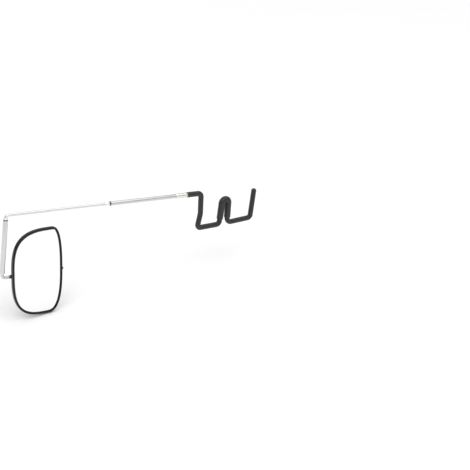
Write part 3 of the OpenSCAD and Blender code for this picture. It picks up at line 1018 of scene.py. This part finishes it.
def makePivotLiner():
    start = frameEdge + crossAxis * pivotLiner["from"]
    length = mirror["outermost"][0] + mirror["width"] - pivotLiner["shortBy"] - pivotLiner["from"]
    profile = ringProfile(pivotLiner["outside"], stock["turningBore"], length, pivotLiner["edge"],
                          stock["boreEdge"])
    nylon = mouldedSkin("black nylon liner", pivotLiner["colour"])
    piece = straightPiece("pivotLiner", profile, start, crossAxis, nylon)
    settle(piece, "mirror", "liner_nylon", "pivot_liner")
    print("pivot liner:", round(length, 1), "mm long")


# what sits inside the tubes and behind the glass keeps its CAD shape
inside = {
    "turned brass": (brass, ["wire_insert", "rod_insert"]),
    "pressed brass": (brass, ["arm_thrust_washer", "hanger_thrust_washer"]),
    "natural nylon": (naturalNylon, ["arm_bush", "hanger_bush"]),
    "foam tape": (foamTape, ["mirror_pad"]),
}


def finishInside():
    for name, (make, nodes) in inside.items():
        material = make(name)
        for node in nodes:
            cadMesh = frame["nodes"][node].data
            cadMesh.materials.clear()
            cadMesh.materials.append(material)
    print("inside:", sum(len(nodes) for make, nodes in inside.values()), "CAD nodes finished")


# a pale sweep to stand on, a bright ceiling over a greyer horizon, one large softbox high on
# the left and a broad even light from above
studio = {
    "floor": -29.9,
    "floorSize": 12.0,
    "floorColour": "#f9f9f9",
    "sky": "#ffffff",
    "skyStrength": 0.74,
    "horizon": "#a9abae",
    "horizonTop": 0.4,      # sine of the elevation at which the sky is fully bright
    "softbox": {"at": (-0.9, -0.7, 1.5), "size": 1.4, "power": 5},
    "ceiling": {"at": (0.1, -0.2, 1.0), "angle": 80, "power": 1.0},
}


def makeStudio():
    scene = bpy.context.scene
    scene.view_settings.view_transform = "Standard"
    floorMesh = bpy.data.meshes.new("floor")
    half, level = studio["floorSize"] / 2, studio["floor"] * mm
    corners = [(-half, -half, level), (half, -half, level), (half, half, level), (-half, half, level)]
    floorMesh.from_pydata(corners, [], [(0, 1, 2, 3)])
    floorMesh.materials.append(newMaterial("matt white sweep", studio["floorColour"], 0.9)[0])
    floor = newObject("floor", floorMesh)

    world = bpy.data.worlds.new("studio")
    world.use_nodes = True
    scene.world = world
    tree = world.node_tree
    tree.nodes.clear()
    way = addNode(tree, "ShaderNodeTexCoord")
    height = addNode(tree, "ShaderNodeSeparateXYZ", {}, {0: way.outputs["Generated"]})
    rise = addNode(tree, "ShaderNodeMapRange", {}, {
        "Value": height.outputs[2], "From Min": 0.0, "From Max": studio["horizonTop"]})
    sky = addNode(tree, "ShaderNodeMix", {"data_type": "RGBA"}, {
        0: rise.outputs[0], 6: linear(studio["horizon"]), 7: linear(studio["sky"])})
    light = addNode(tree, "ShaderNodeBackground", {}, {
        "Color": sky.outputs[2], "Strength": studio["skyStrength"]})
    addNode(tree, "ShaderNodeOutputWorld", {}, {"Surface": light.outputs[0]})

    softbox = bpy.data.lights.new("softbox", "AREA")
    softbox.shape = "DISK"
    softbox.size = studio["softbox"]["size"]
    ceiling = bpy.data.lights.new("ceiling", "SUN")
    ceiling.angle = math.radians(studio["ceiling"]["angle"])
    for lamp in (softbox, ceiling):
        lamp.energy = studio[lamp.name]["power"]
        stand = newObject(lamp.name, lamp)
        stand.location = studio[lamp.name]["at"]
        stand.rotation_euler = (-stand.location).to_track_quat("-Z", "Y").to_euler()
    print("studio: floor, sky and two lights")


# in front of the piece, to the left of it and a little above
camera = {
    "position": (-289.71, -384.83, 193.35),
    "azimuth": -37.852,
    "elevation": 23.098,
    "roll": 2.391,
    "lens": 65.02,
}


def makeCamera():
    azimuth, elevation, roll = (math.radians(camera[key]) for key in ("azimuth", "elevation", "roll"))
    back = Vector((math.sin(azimuth) * math.cos(elevation),
                   -math.cos(azimuth) * math.cos(elevation), math.sin(elevation)))
    right = (-back).cross(Vector((0, 0, 1))).normalized()
    up = back.cross(right)
    tiltedRight = right * math.cos(roll) + up * math.sin(roll)
    tiltedUp = up * math.cos(roll) - right * math.sin(roll)
    view = bpy.data.cameras.new("camera")
    view.lens = camera["lens"]
    view.clip_start, view.clip_end = 0.01, 50
    holder = newObject("camera", view)
    place = Matrix((tiltedRight, tiltedUp, back)).transposed().to_4x4()
    place.translation = Vector(camera["position"]) * mm
    holder.matrix_world = place
    bpy.context.scene.camera = holder
    print("camera:", camera["lens"], "mm lens")


makeCamera()
for make in (makeSleeve, makeWire, makeGrip, makeArmTube, makeFerrule, makeArmRing, makeArmCollar,
             makeSwivelRod, makeHangerCollar, makeHangerTube, makeHangerRing, makeMirrorRod, makeEndCap,
             makeMirrorFrame, makeMirrorGlass, makeMirrorBack, makePivotLiner):
    make()
finishInside()
makeStudio()
